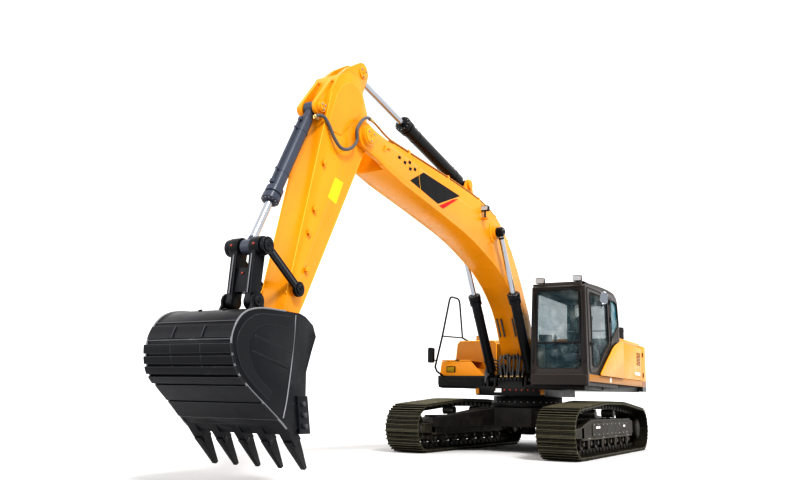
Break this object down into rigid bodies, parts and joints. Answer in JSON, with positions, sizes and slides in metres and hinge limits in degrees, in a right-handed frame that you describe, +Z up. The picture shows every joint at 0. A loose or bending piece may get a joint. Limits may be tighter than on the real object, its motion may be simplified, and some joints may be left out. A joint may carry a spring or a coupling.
{
  "type": "crawler excavator",
  "caption": "Full-size crawler excavator with swinging house, hollow cab with door, curved boom, arm and toothed bucket moved by cylinders, on two fixed tracks.",
  "frame": {"origin": "on the ground, below the middle of the machine's overall box; the swing axis stands 2.901 m further back along +Y", "axes": "+Z up, -Y the way the boom points, +X the cab side (the machine's left)"},
  "size_m": [3.4, 12.722, 5.3029],
  "materials": {
    "yellow_paint": "semi-gloss yellow enamel, lightly dusted",
    "amber_paint": "semi-gloss darker amber enamel",
    "cab_grey": "satin dark warm grey enamel",
    "frame_black": "satin black enamel",
    "bucket_charcoal": "satin charcoal enamel, scuffed at the edges",
    "cylinder_black": "satin black enamel",
    "cylinder_slate": "satin slate grey enamel",
    "track_steel": "dull dark steel with brownish bloom",
    "rod_chrome": "polished chrome",
    "window_glass": "lightly blue tinted glass",
    "seat_fabric": "dark woven cloth",
    "dark_plastic": "matt black plastic",
    "hose_rubber": "matt black rubber",
    "lamp_lens": "clear lamp glass",
    "mirror_face": "mirror glass",
    "plate_white": "blank white plate"
  },
  "bodies": {
    "undercarriage": {"track_left": "track_steel", "track_right": "track_steel", "track_frame_left": "frame_black", "track_frame_right": "frame_black", "sprocket_left": "track_steel", "sprocket_right": "track_steel", "carbody": "frame_black", "slewing_ring": "frame_black"},
    "house": {"upper_frame": "frame_black", "counterweight": "yellow_paint", "left_sill": "amber_paint", "right_sill": "amber_paint", "left_quarter_panel": "yellow_paint", "engine_block": "frame_black", "fuel_tank": "amber_paint", "toolbox": "yellow_paint", "handrail": "dark_plastic", "cab_shell": "cab_grey", "windshield": "window_glass", "right_window": "window_glass", "quarter_window": "window_glass", "rear_window": "window_glass", "seat_console": "dark_plastic", "seat_cushion": "seat_fabric", "seat_back": "seat_fabric"},
    "hood": {"engine_hood": "yellow_paint", "air_cleaner": "dark_plastic", "exhaust_pipe": "dark_plastic"},
    "left_engine_door": {"left_side_door": "yellow_paint"},
    "right_engine_door": {"right_side_door": "yellow_paint"},
    "toolbox_cover": {"toolbox_lid": "yellow_paint"},
    "door": {"cab_door": "cab_grey", "door_window": "window_glass", "door_mirror": "dark_plastic"},
    "boom": {"boom": "yellow_paint"},
    "arm": {"arm": "yellow_paint"},
    "bucket": {"bucket": "bucket_charcoal"},
    "bucket_link": {"bucket_link": "bucket_charcoal"},
    "guide_link_left": {"guide_link_left": "bucket_charcoal"},
    "guide_link_right": {"guide_link_right": "bucket_charcoal"},
    "boom_barrel_left": {"boom_cylinder_left_barrel": "cylinder_black"},
    "boom_rod_left": {"boom_cylinder_left_rod": "rod_chrome"},
    "boom_barrel_right": {"boom_cylinder_right_barrel": "cylinder_black"},
    "boom_rod_right": {"boom_cylinder_right_rod": "rod_chrome"},
    "arm_barrel": {"arm_cylinder_barrel": "cylinder_black"},
    "arm_rod": {"arm_cylinder_rod": "rod_chrome"},
    "bucket_barrel": {"bucket_cylinder_barrel": "cylinder_slate"},
    "bucket_rod": {"bucket_cylinder_rod": "rod_chrome"}
  },
  "joints": [
    {"name": "swing", "type": "hinge", "parent": "undercarriage", "child": "house", "pos_m": [0, 2.901, 1], "axis": [0, 0, 1], "continuous": true},
    {"name": "boom_lift", "type": "hinge", "parent": "house", "child": "boom", "pos_m": [0, 2.621, 1.62], "axis": [-1, 0, 0], "range_deg": [-55, 30]},
    {"name": "arm_crowd", "type": "hinge", "parent": "boom", "child": "arm", "pos_m": [0, -3.649, 4.25], "axis": [1, 0, 0], "range_deg": [-50, 50]},
    {"name": "bucket_curl", "type": "hinge", "parent": "arm", "child": "bucket", "pos_m": [0, -5.049, 1.68], "axis": [1, 0, 0], "range_deg": [-35, 100]},
    {"name": "boom_cylinder_left_tilt", "type": "hinge", "parent": "house", "child": "boom_barrel_left", "pos_m": [0.378, 2.101, 1.3], "axis": [-1, 0, 0], "range_deg": [-59.14, 32.49]},
    {"name": "boom_cylinder_left_stroke", "type": "slide", "parent": "boom_barrel_left", "child": "boom_rod_left", "axis": [0, -0.5193, 0.8546], "range_m": [-0.5371, 0.2952]},
    {"name": "boom_cylinder_right_tilt", "type": "hinge", "parent": "house", "child": "boom_barrel_right", "pos_m": [-0.378, 2.101, 1.3], "axis": [-1, 0, 0], "range_deg": [-59.14, 32.49]},
    {"name": "boom_cylinder_right_stroke", "type": "slide", "parent": "boom_barrel_right", "child": "boom_rod_right", "axis": [0, -0.5193, 0.8546], "range_m": [-0.5371, 0.2952]},
    {"name": "arm_cylinder_tilt", "type": "hinge", "parent": "boom", "child": "arm_barrel", "pos_m": [0, -0.149, 4.475], "axis": [1, 0, 0], "range_deg": [-1.56, 1.56]},
    {"name": "arm_cylinder_stroke", "type": "slide", "parent": "arm_barrel", "child": "arm_rod", "axis": [0, -0.9803, 0.1975], "range_m": [-0.7435, 0.7435]},
    {"name": "bucket_cylinder_tilt", "type": "hinge", "parent": "arm", "child": "bucket_barrel", "pos_m": [0, -4.539, 4.37], "axis": [1, 0, 0], "range_deg": [-2.92, 7.4]},
    {"name": "bucket_cylinder_stroke", "type": "slide", "parent": "bucket_barrel", "child": "bucket_rod", "axis": [0, -0.4694, -0.883], "range_m": [-0.3135, 0.8864]},
    {"name": "guide_link_left_turn", "type": "hinge", "parent": "arm", "child": "guide_link_left", "pos_m": [0.24, -4.959, 2.08], "axis": [1, 0, 0], "range_deg": [-28.92, 81.7]},
    {"name": "guide_link_right_turn", "type": "hinge", "parent": "arm", "child": "guide_link_right", "pos_m": [-0.24, -4.959, 2.08], "axis": [1, 0, 0], "range_deg": [-28.92, 81.7]},
    {"name": "bucket_link_turn", "type": "hinge", "parent": "bucket", "child": "bucket_link", "pos_m": [0, -5.604, 1.872], "axis": [1, 0, 0], "range_deg": [-65.5, 23.25]},
    {"name": "cab_door_swing", "type": "hinge", "parent": "house", "child": "door", "pos_m": [1.592, 3.236, 2.1], "axis": [0, 0, 1], "range_deg": [0, 110]},
    {"name": "left_door_swing", "type": "hinge", "parent": "house", "child": "left_engine_door", "pos_m": [1.6, 5.631, 1.7], "axis": [0, 0, 1], "range_deg": [0, 110]},
    {"name": "right_door_swing", "type": "hinge", "parent": "house", "child": "right_engine_door", "pos_m": [-1.6, 5.631, 1.7], "axis": [0, 0, -1], "range_deg": [0, 110]},
    {"name": "hood_lift", "type": "hinge", "parent": "house", "child": "hood", "pos_m": [0, 3.941, 2.19], "axis": [1, 0, 0], "range_deg": [0, 50]},
    {"name": "toolbox_lid_lift", "type": "hinge", "parent": "house", "child": "toolbox_cover", "pos_m": [-0.885, 2.486, 1.661], "axis": [0, 1, 0], "range_deg": [0, 80]}
  ],
  "couplings": [
    {"joint": "boom_cylinder_left_tilt", "follows": "boom_lift", "ratio": 1.0662},
    {"joint": "boom_cylinder_left_stroke", "follows": "boom_lift", "m_per_rad": 0.5543},
    {"joint": "guide_link_left_turn", "follows": "bucket_curl", "ratio": 0.812},
    {"joint": "boom_cylinder_right_tilt", "follows": "boom_lift", "ratio": 1.0662},
    {"joint": "boom_cylinder_right_stroke", "follows": "boom_lift", "m_per_rad": 0.5543},
    {"joint": "guide_link_right_turn", "follows": "bucket_curl", "ratio": 0.812},
    {"joint": "arm_cylinder_tilt", "follows": "arm_crowd", "ratio": 0.0213},
    {"joint": "arm_cylinder_stroke", "follows": "arm_crowd", "m_per_rad": 0.8463},
    {"joint": "bucket_cylinder_tilt", "follows": "bucket_curl", "ratio": 0.069},
    {"joint": "bucket_cylinder_stroke", "follows": "bucket_curl", "m_per_rad": 0.505},
    {"joint": "bucket_link_turn", "follows": "bucket_curl", "ratio": -0.65}
  ]
}
